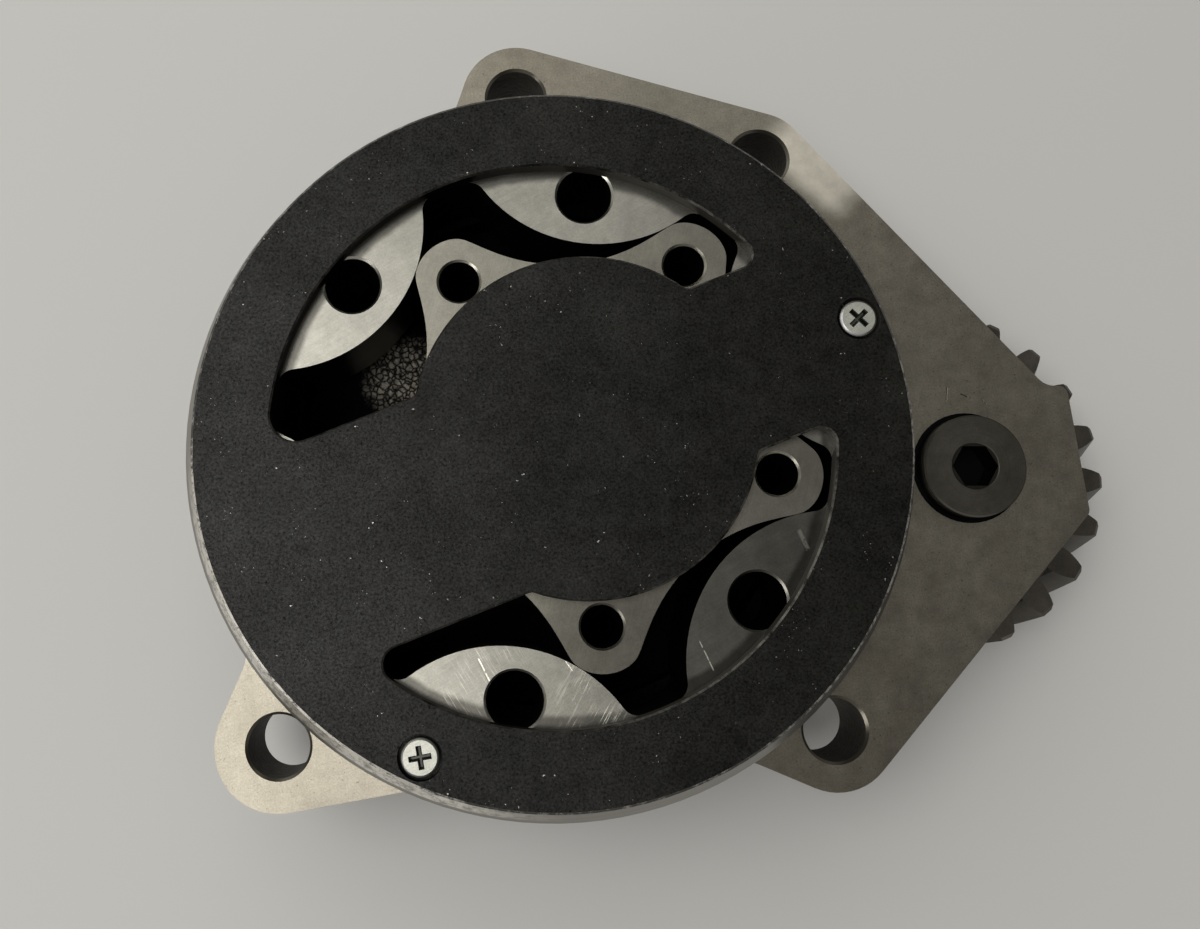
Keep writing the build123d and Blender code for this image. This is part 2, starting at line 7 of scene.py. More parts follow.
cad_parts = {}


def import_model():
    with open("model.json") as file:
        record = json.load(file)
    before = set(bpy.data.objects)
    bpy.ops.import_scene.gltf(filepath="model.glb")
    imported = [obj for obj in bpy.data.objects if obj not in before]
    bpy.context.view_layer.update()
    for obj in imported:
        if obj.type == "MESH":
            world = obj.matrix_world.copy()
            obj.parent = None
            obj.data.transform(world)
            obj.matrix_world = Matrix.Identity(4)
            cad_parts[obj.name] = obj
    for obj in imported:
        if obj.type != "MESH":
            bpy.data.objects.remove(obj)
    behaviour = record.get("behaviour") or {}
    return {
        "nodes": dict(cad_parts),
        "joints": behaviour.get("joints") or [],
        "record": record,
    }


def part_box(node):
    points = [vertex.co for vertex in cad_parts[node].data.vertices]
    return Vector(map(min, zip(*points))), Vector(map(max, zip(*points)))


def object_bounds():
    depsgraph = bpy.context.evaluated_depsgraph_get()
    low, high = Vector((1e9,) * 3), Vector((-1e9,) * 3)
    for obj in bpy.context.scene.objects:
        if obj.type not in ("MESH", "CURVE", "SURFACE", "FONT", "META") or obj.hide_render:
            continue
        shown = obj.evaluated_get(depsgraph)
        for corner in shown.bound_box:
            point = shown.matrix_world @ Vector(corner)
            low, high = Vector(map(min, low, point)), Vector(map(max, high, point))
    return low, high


# Looks of the gerotor oil pump. Metres, in the CAD frame: +Z up out of the port plate, flange face at Z = 0.

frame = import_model()
cad_low, cad_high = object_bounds()
MM = 0.001


def named(rows, name):
    """The row that has this name."""
    return next(row for row in rows if row["name"] == name)


# ---------------------------------------------------------------- sizes read from the frame
plate_low, plate_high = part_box("port_plate")
PLATE_RADIUS = (plate_high.x - plate_low.x) / 2
PLATE_TOP = plate_high.z
IDLER_AXIS = Vector(named(frame["joints"], "idler_spin")["pos_m"])
BARREL_RADIUS = named(frame["record"]["mounts"], "block_pilot")["dims"]["r_mm"] * MM
BARREL_WALL = 8 * MM
CHAMBER_RADIUS = BARREL_RADIUS - BARREL_WALL

# ---------------------------------------------------------------- places of marks
BARREL_AXIS = (0, 0)
LEAD_IN_FOOT = 13.3 * MM
CHAMBER_BOTTOM = -7 * MM
PIN_SEAT_RADIUS = 8.4 * MM
SOCKET_RADIUS = 3.5 * MM
SOCKET_MOUTH = 2.95 * MM
# Inner edge of the painted shadow that the plate's edge casts on the outer rotor.
PLATE_SHADOW_RADIUS = 36.7 * MM
# Rubbed patch on the flange by the upper right hole, mostly a painted highlight.
RUBBED_HIGHLIGHT_PATCH = (41.8 * MM, 45.2 * MM, 0)
RUBBED_HIGHLIGHT_REACH = (9 * MM, 5.5 * MM, MM)
RUBBED_HIGHLIGHT_ANGLE = -43
LOWER_LEFT_LOBE = (-38.5 * MM, -42.0 * MM)
# Middle of the painted pool of light where cast scales show in the chamber.
LIT_CAST_PATCH = (-21.5 * MM, 12.5 * MM)
LAPPED_TOOTH = (-2.3 * MM, -33.5 * MM)
# Middles of the painted shade on the outer rotor's lower right tooth and the inner rotor's lower lobe.
SHADED_TOOTH = (28 * MM, -23 * MM)
SHADED_LOBE = (9 * MM, -27 * MM)

# Scratches: both ends and the width in millimetres, then the strength.
FLANGE_SCRATCHES = (
    ((60.54, 10.1), (60.25, 7.4), 0.13, 1.0),
    ((62.4, 9.0), (64.1, 8.2), 0.16, 1.0),
    ((65.5, 8.3), (66.6, 7.1), 0.1, 1.0),
)
ROTOR_SCRATCHES = (
    ((-9.9, -28.9), (-8.0, -32.6), 0.16, 1.0),
    ((1.6, -29.3), (2.6, -30.7), 0.12, 1.0),
    ((19.3, -26.6), (21.2, -30.7), 0.1, 0.6),
    ((33.0, -12.0), (34.3, -15.0), 0.4, 0.28),
)

# ---------------------------------------------------------------- colours, pairs are dark and light
GROUND_IRON = ((0.160, 0.146, 0.118), (0.250, 0.233, 0.192))
PORE = (0.06, 0.053, 0.042)
# Painted highlight on the flange, with a little rubbing.
RUBBED_HIGHLIGHT_IRON = (0.80, 0.76, 0.65)
WRINKLE = (0.07, 0.062, 0.045)
DIRTY_SCRATCH = (0.035, 0.03, 0.025)
TURNED_IRON = (0.235, 0.225, 0.20)
# Rubbed streaks on the barrel's lead-in, partly a painted highlight.
RUBBED_HIGHLIGHT_LEDGE = (0.88, 0.85, 0.79)
# Painted shadow line along the barrel's outer edge.
LEDGE_SHADOW_LINE = (0.012, 0.011, 0.01)
HOLE_EDGE = (0.22, 0.205, 0.17)
CAST_SKIN = ((0.05, 0.046, 0.040), (0.14, 0.131, 0.115))
CAST_SCALES = ((0.02, 0.019, 0.017), (0.62, 0.585, 0.50))
# Painted shade inside the rotor chamber.
CHAMBER_SHADE = (0.006, 0.006, 0.0068)
# Painted shadow round the head of the idler pin.
PIN_SEAT_SHADOW = (0.008, 0.008, 0.008)

SATIN_BLACK = ((0.0028, 0.0028, 0.0020), (0.0078, 0.0076, 0.0058))
HAIRLINE = (0.11, 0.108, 0.098)
SPECK = (0.40, 0.39, 0.35)
RIM_SLOPE = (0.07, 0.068, 0.062)
# Bare steel on the plate rim, painted as a highlight at the lower left.
BARE_RIM_HIGHLIGHT = (0.82, 0.79, 0.72)
# Port walls: painted shade at the left, painted reflection at the right.
PORT_WALL_SHADE_AND_REFLECTION = ((0.006, 0.006, 0.006), (0.085, 0.08, 0.07))
PORT_EDGE = (0.20, 0.19, 0.165)

OUTER_ROTOR_STEEL = ((0.215, 0.21, 0.185), (0.30, 0.293, 0.258))
INNER_ROTOR_STEEL = ((0.165, 0.158, 0.134), (0.23, 0.221, 0.188))
ZINC = ((0.34, 0.345, 0.31), (0.52, 0.52, 0.47))
SHAFT_STEEL = ((0.30, 0.29, 0.27), (0.42, 0.41, 0.38))
GEAR_STEEL = ((0.066, 0.060, 0.051), (0.118, 0.108, 0.094))
PIN_STEEL = ((0.055, 0.051, 0.043), (0.092, 0.086, 0.073))
WASHER_STEEL = ((0.22, 0.21, 0.19), (0.32, 0.31, 0.28))
RING_STEEL = ((0.03, 0.03, 0.032), (0.06, 0.06, 0.062))
BRIGHT_SCRATCH = (0.78, 0.75, 0.66)
# Painted shade on the idler pin's side and in its socket.
PIN_SHADE = (0.006, 0.006, 0.006)
# Painted shade deep in the screws' cross recess.
SLOT_SHADE = (0.02, 0.02, 0.018)
BRONZE = ((0.34, 0.20, 0.085), (0.58, 0.40, 0.20))

FLOOR_COLOUR = (0.56, 0.555, 0.54)


# ---------------------------------------------------------------- material kit
class Look:
    """One procedural material: a node tree with short calls for the nodes it needs."""

    def __init__(self, name, metallic=0.0):
        self.material = bpy.data.materials.new(name)
        self.material.use_nodes = True
        self.tree = self.material.node_tree
        self.shader = self.tree.nodes["Principled BSDF"]
        self.shader.inputs["Metallic"].default_value = metallic
        coordinates = self.tree.nodes.new("ShaderNodeTexCoord")
        self.place = coordinates.outputs["Object"]
        self.x, self.y, self.z = self.add("ShaderNodeSeparateXYZ", Vector=self.place).outputs
        normal = coordinates.outputs["Normal"]
        self.nx, self.ny, self.nz = self.add("ShaderNodeSeparateXYZ", Vector=normal).outputs

    def add(self, kind, **inputs):
        """New node with its named inputs set or linked."""
        node = self.tree.nodes.new(kind)
        for key, value in inputs.items():
            self.feed(node.inputs[key], value)
        return node

    def feed(self, socket, value):
        """Links a socket to an output, or sets it to a number or colour."""
        if isinstance(value, bpy.types.NodeSocket):
            self.tree.links.new(value, socket)
        elif socket.type == "RGBA" and len(value) == 3:
            socket.default_value = (*value, 1)
        else:
            socket.default_value = value

    def math(self, operation, first, second=0.0):
        node = self.tree.nodes.new("ShaderNodeMath")
        node.operation = operation
        self.feed(node.inputs[0], first)
        self.feed(node.inputs[1], second)
        return node.outputs[0]

    def fold(self, operation, values):
        """One operation over all values, from the first on."""
        result = values[0]
        for value in values[1:]:
            result = self.math(operation, result, value)
        return result

    def times(self, *values):
        return self.fold("MULTIPLY", values)

    def plus(self, *values):
        return self.fold("ADD", values)

    def most(self, *values):
        return self.fold("MAXIMUM", values)

    def without(self, value):
        return self.math("SUBTRACT", 1.0, value)

    def step(self, value, start, end):
        """0 at start, 1 at end and smooth between them; end may be the lower."""
        node = self.add("ShaderNodeMapRange", Value=value)
        node.interpolation_type = "SMOOTHSTEP"
        node.inputs["From Min"].default_value = min(start, end)
        node.inputs["From Max"].default_value = max(start, end)
        node.inputs["To Min"].default_value = float(end < start)
        node.inputs["To Max"].default_value = float(end > start)
        return node.outputs["Result"]

    def band(self, value, low, high, soft):
        """1 between low and high, fading over soft at both ends."""
        return self.times(self.step(value, low - soft, low), self.step(value, high + soft, high))

    def spread(self, value, low, high):
        """Maps 0..1 to low..high."""
        node = self.add("ShaderNodeMapRange", Value=value)
        node.inputs["To Min"].default_value = low
        node.inputs["To Max"].default_value = high
        return node.outputs["Result"]

    def placed(self, where, scale, angle=0.0):
        """Place in a frame that stands at a point, turned about Z and with its own units."""
        node = self.add("ShaderNodeMapping", Vector=self.place)
        node.vector_type = "TEXTURE"
        node.inputs["Location"].default_value = where
        node.inputs["Rotation"].default_value = (0, 0, radians(angle))
        node.inputs["Scale"].default_value = scale
        return node.outputs["Vector"]

    def noise(self, size, detail=2.0, rough=0.5, where=None):
        """Noise whose features are about size across."""
        node = self.add("ShaderNodeTexNoise", Vector=where or self.place)
        node.inputs["Scale"].default_value = 1 / size
        node.inputs["Detail"].default_value = detail
        node.inputs["Roughness"].default_value = rough
        return node.outputs["Fac"]

    def lay(self, angle, length, width, seed=0.0):
        """Noise drawn out along one direction, as grinding leaves it."""
        where = self.placed((seed, seed, seed), (length, width, length), angle)
        return self.noise(1.0, 3, 0.6, where)

    def cells(self, size):
        """Distance from the middle of each of many small cells."""
        node = self.add("ShaderNodeTexVoronoi", Vector=self.place)
        node.inputs["Scale"].default_value = 1 / size
        return node.outputs["Distance"]

    def cracks(self, size, waver):
        """0 along the lines between irregular scales, rising towards their middles."""
        shift = self.add("ShaderNodeTexNoise", Vector=self.place, Scale=1 / size, Detail=3.0)
        node = self.tree.nodes.new("ShaderNodeVectorMath")
        node.operation = "MULTIPLY_ADD"
        self.feed(node.inputs[0], shift.outputs["Color"])
        node.inputs[1].default_value = (waver, waver, waver)
        self.feed(node.inputs[2], self.place)
        scales = self.add("ShaderNodeTexVoronoi", Vector=node.outputs["Vector"])
        scales.feature = "DISTANCE_TO_EDGE"
        scales.inputs["Scale"].default_value = 1 / size
        return scales.outputs["Distance"]

    def facing_up(self):
        """1 on faces that look up."""
        return self.step(self.nz, 0.85, 0.95)

    def radius_from(self, centre):
        """Distance from a vertical axis."""
        across = self.add("ShaderNodeCombineXYZ", X=self.x, Y=self.y)
        node = self.add("ShaderNodeVectorMath")
        node.operation = "DISTANCE"
        self.feed(node.inputs[0], across.outputs["Vector"])
        node.inputs[1].default_value = (centre[0], centre[1], 0)
        return node.outputs["Value"]

    def ragged_radius(self, centre, size, waver, detail=2.0):
        """Distance from a vertical axis with an uneven outline."""
        return self.plus(self.radius_from(centre), self.times(self.noise(size, detail), waver))

    def bearing(self):
        """Angle about the barrel axis, in degrees from -180 to 180."""
        return self.times(self.math("ARCTAN2", self.y, self.x), degrees(1))

    def rings(self, centre, width, reach):
        """Circular machining marks about a vertical axis."""
        radius = self.radius_from(centre)
        where = self.add("ShaderNodeCombineXYZ")
        self.feed(where.inputs["X"], self.times(radius, 1 / width))
        self.feed(where.inputs["Y"], self.times(self.plus(self.x, self.y), 1 / reach))
        return self.noise(1.0, 2, 0.6, where.outputs["Vector"])

    def flecks(self, size, amount):
        """Sparse small irregular marks: 1 on a mark."""
        return self.step(self.noise(size, 2, 0.6), 1 - amount, 1 - amount + 0.03)

    def stroke(self, start, end, width):
        """One broken scratch between two points, given in millimetres."""
        along = (end[0] - start[0], end[1] - start[1])
        length = hypot(*along)
        angle = degrees(atan2(along[1], along[0]))
        where = self.placed((start[0] * MM, start[1] * MM, 0), (length * MM, width * MM, MM), angle)
        x, y, _ = self.add("ShaderNodeSeparateXYZ", Vector=where).outputs
        broken = self.step(self.noise(0.5 * MM, 2), 0.35, 0.5)
        return self.times(self.step(self.math("ABSOLUTE", y), 1, 0.3), self.band(x, 0.1, 0.9, 0.1), broken)

    def strokes(self, rows):
        """All scratches of a list, each at its own strength."""
        return self.most(*[self.times(self.stroke(*row[:3]), row[3]) for row in rows])

    def mix(self, factor, first, second):
        """First colour at 0, second at 1."""
        node = self.tree.nodes.new("ShaderNodeMix")
        node.data_type = "RGBA"
        self.feed(node.inputs[0], factor)
        self.feed(node.inputs[6], first)
        self.feed(node.inputs[7], second)
        return node.outputs[2]

    def shade(self, colour, factor):
        """Colour times a grey factor."""
        node = self.tree.nodes.new("ShaderNodeVectorMath")
        node.operation = "SCALE"
        self.feed(node.inputs[0], colour)
        self.feed(node.inputs["Scale"], factor)
        return node.outputs[0]

    def bump(self, height, distance, under=None):
        """Normal of a relief that is distance high, on top of another one if given."""
        node = self.add("ShaderNodeBump", Height=height)
        node.inputs["Strength"].default_value = 1.0
        node.inputs["Distance"].default_value = distance
        if under is not None:
            self.feed(node.inputs["Normal"], under)
        return node.outputs["Normal"]

    def finish(self, colour, roughness, normal=None, metallic=None, specular=None):
        """Feeds the shader and hands over the material."""
        for key, value in (
            ("Base Color", colour),
            ("Roughness", roughness),
            ("Normal", normal),
            ("Metallic", metallic),
            ("Specular IOR Level", specular),
        ):
            if value is not None:
                self.feed(self.shader.inputs[key], value)
        return self.material


def dress(material, *part_names):
    """Gives CAD nodes their finish."""
    for part_name in part_names:
        mesh = frame["nodes"][part_name].data
        mesh.materials.clear()
        mesh.materials.append(material)


# ---------------------------------------------------------------- iron body
def ground_face(look, cloud, grain, lay):
    """Colour of the ground flange face, with small pores."""
    mottle = look.noise(11 * MM, 4, 0.65)
    colour = look.mix(look.spread(mottle, -0.35, 1.35), *GROUND_IRON)
    colour = look.shade(colour, look.spread(cloud, 0.72, 1.28))
    colour = look.shade(colour, look.spread(grain, 0.5, 1.5))
    colour = look.shade(colour, look.spread(lay, 0.86, 1.14))
    pores = look.flecks(0.45 * MM, 0.34)
    return look.mix(look.times(pores, 0.55), colour, PORE)


def flange_wear(look, colour, ground, cloud):
    """Rubbed patch with a painted highlight by the upper right hole, painted shading at the right, wrinkles
    by the lower left lobe.
    """
    # Painted highlight, with some rubbing, by the upper right hole.
    along_edge = look.placed(RUBBED_HIGHLIGHT_PATCH, RUBBED_HIGHLIGHT_REACH, RUBBED_HIGHLIGHT_ANGLE)
    rub_x, rub_y, _ = look.add("ShaderNodeSeparateXYZ", Vector=along_edge).outputs
    rubbed = look.times(look.band(rub_x, -0.5, 0.6, 0.6), look.band(rub_y, -0.4, 1.0, 0.6), ground)
    rubbed = look.times(rubbed, look.spread(cloud, 0.6, 1.2), 0.85)
    colour = look.mix(rubbed, colour, RUBBED_HIGHLIGHT_IRON)

    # Painted shading on the right half: lighter towards the right, darker towards the bottom.
    lighter_right = look.spread(look.step(look.x, 10 * MM, 45 * MM), 0.93, 1.2)
    darker_low = look.spread(look.step(look.y, -45 * MM, -8 * MM), 0.8, 1.0)
    at_right = look.step(look.x, 0, 12 * MM)
    painted_right_shading = look.times(lighter_right, darker_low, at_right)
    colour = look.shade(colour, look.plus(painted_right_shading, look.without(at_right)))

    wrinkles = look.most(
        look.step(look.lay(22, 2.2 * MM, 0.12 * MM, 7), 0.60, 0.72),
        look.step(look.lay(-62, 1.6 * MM, 0.12 * MM, 4), 0.62, 0.74),
    )
    near_lobe = look.step(look.radius_from(LOWER_LEFT_LOBE), 17 * MM, 9 * MM)
    return look.mix(look.times(wrinkles, look.spread(near_lobe, 0.15, 0.5)), colour, WRINKLE)


def turned_barrel(look, radius):
    """Colour of the barrel: rubbed streaks and a painted highlight at the lower left above a painted shadow
    line at the outer edge, and painted shade at the right.
    """
    bearing = look.bearing()
    turning = look.rings(BARREL_AXIS, 0.12 * MM, 30 * MM)
    colour = look.shade(TURNED_IRON, look.spread(turning, 0.55, 1.45))
    # Painted shade on the right side of the barrel.
    shaded_side = look.times(look.step(bearing, -75, -35), look.step(bearing, 100, 60))
    colour = look.shade(colour, look.spread(shaded_side, 1.0, 0.55))
    # Rubbed streaks at the lower left, partly a painted highlight.
    lead_in = look.step(look.z, LEAD_IN_FOOT, LEAD_IN_FOOT + 0.4 * MM)
    worn = look.step(look.noise(1.4 * MM, 4, 0.8), 0.3, 0.6)
    rubbed = look.times(lead_in, look.band(bearing, -160, -108, 22), worn, 0.9)
    colour = look.mix(rubbed, colour, RUBBED_HIGHLIGHT_LEDGE)
    # Painted shadow line along the barrel's outer edge, at the lower left.
    outermost = look.step(radius, BARREL_RADIUS - 0.5 * MM, BARREL_RADIUS - 0.35 * MM)
    outer_shadow_line = look.times(outermost, look.step(bearing, -60, -75), lead_in)
    return look.mix(outer_shadow_line, colour, LEDGE_SHADOW_LINE)


def shaded_chamber(look, facing_up):
    """Colour inside the rotor chamber: black painted shade, with a patch of light scales in a painted pool
    of light in the suction side.
    """
    from_patch = look.ragged_radius(LIT_CAST_PATCH, 3 * MM, 3 * MM)
    # Painted pool of light where the cast scales show.
    patch = look.times(
        facing_up,
        look.step(from_patch, 9 * MM, 5 * MM),
        look.step(look.z, 0.5 * MM, 0.2 * MM),
    )
    uneven = look.spread(look.noise(0.5 * MM, 3, 0.7), -0.7, 2.4)
    scales = look.times(look.step(look.cracks(0.9 * MM, 0.8 * MM), 0.0, 0.3), uneven)
    return look.mix(patch, CHAMBER_SHADE, look.mix(scales, *CAST_SCALES))


def pin_seat(look, outside):
    """1 in the shallow seat round the head of the idler pin."""
    return look.times(
        look.step(look.radius_from(IDLER_AXIS), PIN_SEAT_RADIUS + 0.6 * MM, PIN_SEAT_RADIUS),
        look.step(look.z, -0.05 * MM, -0.15 * MM),
        outside,
        look.step(look.z, -2 * MM, -1 * MM),
    )


def cast_iron():
    """Ground flange face, turned barrel, rotor chamber dark with painted shade, cast skin elsewhere."""
    look = Look("cast_iron_body", metallic=1.0)
    radius = look.radius_from(BARREL_AXIS)
    facing_up = look.facing_up()
    outside = look.step(radius, CHAMBER_RADIUS, CHAMBER_RADIUS + 0.6 * MM)
    inside = look.times(look.without(outside), look.step(look.z, CHAMBER_BOTTOM, CHAMBER_BOTTOM + 1 * MM))
    ground = look.times(facing_up, look.band(look.z, -0.5 * MM, 0.1 * MM, 0.1 * MM))
    hole_edge = look.times(
        look.band(look.nz, 0.5, 0.85, 0.1),
        look.band(look.z, -0.7 * MM, 0.5 * MM, 0.3 * MM),
        outside,
    )
    barrel_side = look.times(
        look.band(radius, CHAMBER_RADIUS, BARREL_RADIUS, 0.4 * MM),
        look.step(look.z, 0, 0.2 * MM),
    )
    machined = look.most(ground, barrel_side, hole_edge)

    cloud = look.noise(2.5 * MM, 4, 0.65)
    grain = look.noise(0.28 * MM, 3, 0.75)
    long_lay = look.times(look.lay(97, 9 * MM, 0.22 * MM), 0.6)
    short_lay = look.times(look.lay(12, 7 * MM, 0.2 * MM, 3), 0.4)
    lay = look.plus(long_lay, short_lay)
    scratches = look.strokes(FLANGE_SCRATCHES)
    cast_skin = look.mix(look.noise(2.5 * MM, 4, 0.7), *CAST_SKIN)

    colour = ground_face(look, cloud, grain, lay)
    colour = flange_wear(look, colour, ground, cloud)
    colour = look.mix(look.times(scratches, 0.8), colour, DIRTY_SCRATCH)
    colour = look.mix(barrel_side, colour, turned_barrel(look, radius))
    colour = look.mix(hole_edge, colour, HOLE_EDGE)
    colour = look.mix(machined, cast_skin, colour)
    # Painted shade inside the rotor chamber, with a lit patch of cast scales.
    colour = look.mix(inside, colour, shaded_chamber(look, facing_up))
    # Painted shadow in the seat round the idler pin's head.
    colour = look.mix(pin_seat(look, outside), colour, PIN_SEAT_SHADOW)

    rough_skin = look.plus(look.times(look.cells(0.9 * MM), 0.7), look.noise(0.5 * MM, 4, 0.65))
    cast_bump = look.bump(look.times(rough_skin, look.without(machined)), 0.35 * MM)
    fine = look.plus(look.times(lay, 0.8), look.times(grain, 0.7), look.times(scratches, -1.5))
    normal = look.bump(look.times(fine, machined), 0.012 * MM, cast_bump)
    uneven_gloss = look.times(ground, look.spread(cloud, -0.02, 0.06))
    roughness = look.plus(look.spread(machined, 0.62, 0.30), uneven_gloss)
    return look.finish(colour, roughness, normal)


# ---------------------------------------------------------------- black plate
def hairlines(look):
    """Fine scratches in three directions: 1 on a scratch."""
    return look.most(
        look.step(look.lay(-15, 2.4 * MM, 0.06 * MM), 0.69, 0.76),
        look.step(look.lay(28, 2.0 * MM, 0.06 * MM, 5), 0.69, 0.76),
        look.step(look.lay(75, 2.2 * MM, 0.06 * MM, 9), 0.70, 0.77),
    )


def bare_rim_highlight_mask(look, radius, rim, slope):
    """1 where the rim is rubbed to bare steel, mostly at the lower left, where it is also a painted
    highlight.
    """
    bearing = look.bearing()
    lower_left = look.band(bearing, -172, -112, 12)
    worn_side = look.most(lower_left, look.times(look.band(bearing, -40, 5, 15), 0.5))
    wear = look.plus(look.noise(1.6 * MM, 5, 0.85), look.times(worn_side, 0.13))
    outermost = look.step(radius, PLATE_RADIUS - 0.36 * MM, PLATE_RADIUS - 0.2 * MM)
    return look.times(
        rim,
        look.most(slope, outermost),
        look.step(wear, 0.5, 0.66),
        look.most(lower_left, 0.35),
        look.step(look.z, PLATE_TOP - 0.7 * MM, PLATE_TOP - 0.4 * MM),
    )


def port_walls(look):
    """Colour of the streaked port walls: painted shade at the left and a lighter painted reflection at the
    right.
    """
    streak = look.noise(1.0, 3, 0.6, look.placed((0, 0, 0), (3 * MM, 3 * MM, 0.12 * MM)))
    colour = look.mix(look.step(look.x, -12 * MM, 14 * MM), *PORT_WALL_SHADE_AND_REFLECTION)
    return look.shade(colour, look.spread(streak, 0.2, 1.8))


def black_oxide():
    """Satin black plate, rubbed to bare steel along its rim and inside the ports, with painted highlights on
    the rim at the lower left and on the port edges at the right, and painted shade and reflection on the
    port walls.
    """
    look = Look("black_oxide_steel")
    mottle = look.noise(14 * MM, 4, 0.65)
    cloud = look.noise(2.0 * MM, 4, 0.65)
    grain = look.noise(0.36 * MM, 3, 0.85)
    texture = look.times(
        look.spread(cloud, 0.5, 1.5),
        look.spread(grain, -1.0, 3.0),
        look.spread(mottle, 0.5, 1.5),
    )
    hairs = hairlines(look)
    sparse = look.step(look.noise(9 * MM, 2), 0.5, 0.62)
    specks = look.times(look.flecks(0.4 * MM, 0.30), look.step(look.noise(2.6 * MM, 2), 0.56, 0.62))

    radius = look.radius_from(BARREL_AXIS)
    slope = look.times(look.without(look.facing_up()), look.step(look.nz, 0.2, 0.5))
    rim = look.step(radius, PLATE_RADIUS - 0.6 * MM, PLATE_RADIUS - 0.5 * MM)
    not_rim = look.without(rim)
    bare_rim_and_highlight = bare_rim_highlight_mask(look, radius, rim, slope)
    wall = look.times(look.step(look.nz, 0.3, 0.1), not_rim)
    # Worn port edges, brighter towards the right as a painted highlight.
    right_side = look.step(look.x, -2 * MM, 26 * MM)
    edge_wear_and_highlight = look.times(
        slope,
        not_rim,
        look.spread(right_side, 0.2, 1.0),
        look.step(look.noise(4 * MM, 5, 0.8), 0.35, 0.75),
    )

    colour = look.mix(look.spread(mottle, -0.4, 1.4), *SATIN_BLACK)
    colour = look.shade(colour, look.spread(texture, 0.2, 1.0))
    colour = look.mix(look.times(hairs, sparse, 0.55), colour, HAIRLINE)
    colour = look.mix(specks, colour, SPECK)
    colour = look.mix(look.times(rim, slope, 0.6), colour, RIM_SLOPE)
    # Bare rim with a painted highlight at the lower left.
    colour = look.mix(bare_rim_and_highlight, colour, BARE_RIM_HIGHLIGHT)
    colour = look.mix(wall, colour, port_walls(look))
    colour = look.mix(edge_wear_and_highlight, colour, PORT_EDGE)

    height = look.plus(look.times(grain, 0.8), look.times(cloud, 0.5), look.times(hairs, -0.3))
    normal = look.bump(height, 0.016 * MM)
    roughness = look.spread(cloud, 0.32, 0.5)
    metallic = look.most(specks, bare_rim_and_highlight, look.times(wall, 0.6), look.times(edge_wear_and_highlight, 0.8))
    specular = look.times(look.most(texture, 0.1), 0.17)
    return look.finish(colour, roughness, normal, metallic, specular)


# ---------------------------------------------------------------- steels and bronze
def steel(
    name,
    colours,
    roughness=(0.26, 0.38),
    lay_angle=30.0,
    edge=3.0,
    relief=0.008 * MM,
    turned_about=None,
    extra=None,
):
    """Machined or ground steel with a fine lay or turning rings, clouding, grain and brighter edges, painted
    as a highlight where they face the lower left.
    """
    look = Look(name, metallic=1.0)
    mottle = look.noise(7 * MM, 4, 0.6)
    cloud = look.noise(1.6 * MM, 4, 0.65)
    grain = look.noise(0.24 * MM, 3, 0.75)
    if turned_about is None:
        marks = look.lay(lay_angle, 8 * MM, 0.14 * MM)
    else:
        marks = look.rings(turned_about, 0.16 * MM, 12 * MM)
    colour = look.mix(look.spread(mottle, -0.3, 1.3), *colours)
    colour = look.shade(colour, look.spread(cloud, 0.76, 1.24))
    colour = look.shade(colour, look.spread(marks, 0.8, 1.2))
    colour = look.shade(colour, look.spread(grain, 0.7, 1.3))

    # Edges that face the lower left get a painted highlight; the others a plain edge colour.
    slope = look.band(look.nz, 0.5, 0.85, 0.12)
    towards_lower_left = look.step(look.plus(look.nx, look.ny), -0.1, -0.75)
    light = colours[1]
    dull_edge = [0.8 * channel for channel in light]
    highlight_edge = [min(1, edge * channel) for channel in light]
    colour = look.mix(slope, colour, look.mix(towards_lower_left, dull_edge, highlight_edge))

    height = look.plus(look.times(marks, 0.8), look.times(grain, 0.5))
    if extra:
        colour, height = extra(look, colour, height)
    return look.finish(colour, look.spread(mottle, *roughness), look.bump(height, relief))


def darkened_walls(look, colour):
    """Sides of the rotors are darker."""
    return look.shade(colour, look.spread(look.step(look.nz, 0.4, 0.1), 1.0, 0.22))


def painted_shade_patch(look, colour, centre, reach, darkest):
    """Painted shade darkens a face round one place."""
    from_centre = look.ragged_radius(centre, 6 * MM, 3 * MM, 3)
    return look.shade(colour, look.spread(look.step(from_centre, reach, 0.6 * reach), 1.0, darkest))


def lapping(look):
    """Straight lapping strokes on the lower tooth, leaning right on its right half and left on its left."""
    leaning_right = look.step(look.lay(61, 5 * MM, 0.16 * MM), 0.50, 0.68)
    leaning_left = look.step(look.lay(122, 4 * MM, 0.16 * MM), 0.54, 0.72)
    return look.times(
        look.step(look.radius_from(LAPPED_TOOTH), 13 * MM, 11 * MM),
        look.most(
            look.times(leaning_right, look.step(look.x, -2 * MM, 4 * MM)),
            look.times(leaning_left, look.step(look.x, -2 * MM, -6 * MM)),
        ),
        look.step(look.noise(3.5 * MM, 2), 0.35, 0.6),
    )


def inner_rotor_marks(look, colour, height):
    """Darker sides and painted shade on the lower lobe."""
    return painted_shade_patch(look, darkened_walls(look, colour), SHADED_LOBE, 17 * MM, 0.62), height


